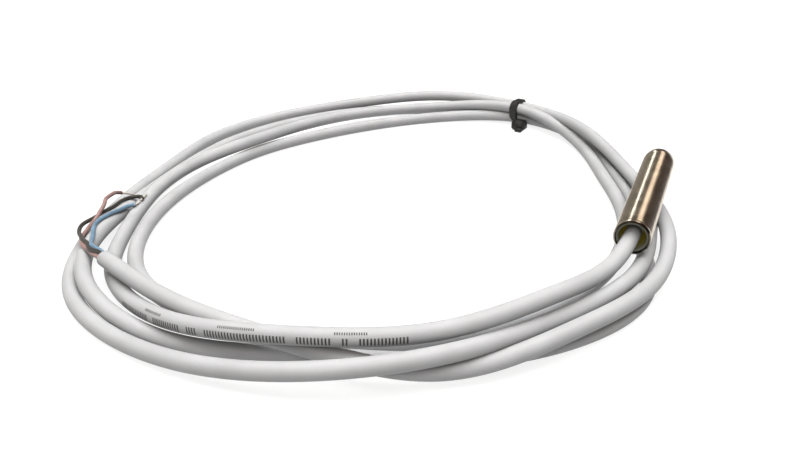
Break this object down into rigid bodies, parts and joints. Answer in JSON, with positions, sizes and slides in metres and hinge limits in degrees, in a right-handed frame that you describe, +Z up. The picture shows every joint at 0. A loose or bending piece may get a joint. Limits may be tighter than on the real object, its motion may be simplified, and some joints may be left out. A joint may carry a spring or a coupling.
{
  "type": "proximity sensor",
  "caption": "Threaded cylindrical inductive proximity sensor with a long grey cable, coiled and tied, ending in stripped cores.",
  "frame": {"origin": "centre of the sensing face at the barrel's front end", "axes": "+Y out of the sensing face along the barrel's axis, +Z up with the coiled cable lying below the barrel"},
  "size_m": [0.1495, 0.1764, 0.0158],
  "materials": {
    "nickel_plated_brass": "nickel plated, fine turned thread",
    "front_cap_plastic": "matt moulded plastic",
    "ferrite": "sintered ferrite",
    "bobbin_plastic": "moulded plastic",
    "winding_copper": "enamelled copper wire",
    "lead_copper": "enamelled copper wire",
    "potting_resin_front": "cast resin",
    "board_laminate": "solder mask on glass laminate",
    "ic_body": "moulded epoxy",
    "transistor_body": "moulded epoxy",
    "diode_body": "moulded epoxy",
    "capacitor_ceramic": "ceramic",
    "resistor_ceramic": "ceramic",
    "led_lens": "clear epoxy",
    "solder": "bright solder",
    "insulating_film": "polyester film",
    "potting_resin_rear": "cast resin",
    "rear_cap_translucent": "translucent moulded plastic",
    "crimp_metal": "stamped steel",
    "jacket_pvc_inside": "extruded PVC",
    "inner_core_pvc_brown": "extruded PVC",
    "inner_core_pvc_black": "extruded PVC",
    "inner_core_pvc_blue": "extruded PVC",
    "jacket_pvc": "extruded grey PVC",
    "jacket_pvc_coil": "extruded grey PVC",
    "jacket_pvc_tail": "extruded grey PVC",
    "core_pvc_brown": "extruded PVC",
    "core_pvc_black": "extruded PVC",
    "core_pvc_blue": "extruded PVC",
    "tinned_copper_brown": "tinned copper strands",
    "tinned_copper_black": "tinned copper strands",
    "tinned_copper_blue": "tinned copper strands",
    "tie_nylon": "black nylon",
    "tie_nylon_head": "black nylon"
  },
  "bodies": {
    "root": {"housing_sleeve": "nickel_plated_brass", "sensing_cap": "front_cap_plastic", "ferrite_core": "ferrite", "coil_bobbin": "bobbin_plastic", "coil_winding": "winding_copper", "coil_leads": "lead_copper", "potting_front": "potting_resin_front", "circuit_board": "board_laminate", "oscillator_ic": "ic_body", "output_transistor": "transistor_body", "protection_diode": "diode_body", "capacitors": "capacitor_ceramic", "resistors": "resistor_ceramic", "status_led": "led_lens", "solder_joints": "solder", "insulating_tube": "insulating_film", "potting_rear": "potting_resin_rear", "rear_cap": "rear_cap_translucent", "crimp_ring": "crimp_metal", "jacket_stub": "jacket_pvc_inside", "inner_core_brown": "inner_core_pvc_brown", "inner_core_black": "inner_core_pvc_black", "inner_core_blue": "inner_core_pvc_blue", "cable_lead": "jacket_pvc", "cable_coil": "jacket_pvc_coil", "cable_tail": "jacket_pvc_tail", "core_brown": "core_pvc_brown", "core_black": "core_pvc_black", "core_blue": "core_pvc_blue", "tinned_end_brown": "tinned_copper_brown", "tinned_end_black": "tinned_copper_black", "tinned_end_blue": "tinned_copper_blue", "tie_strap": "tie_nylon", "tie_head": "tie_nylon_head"}
  },
  "joints": []
}
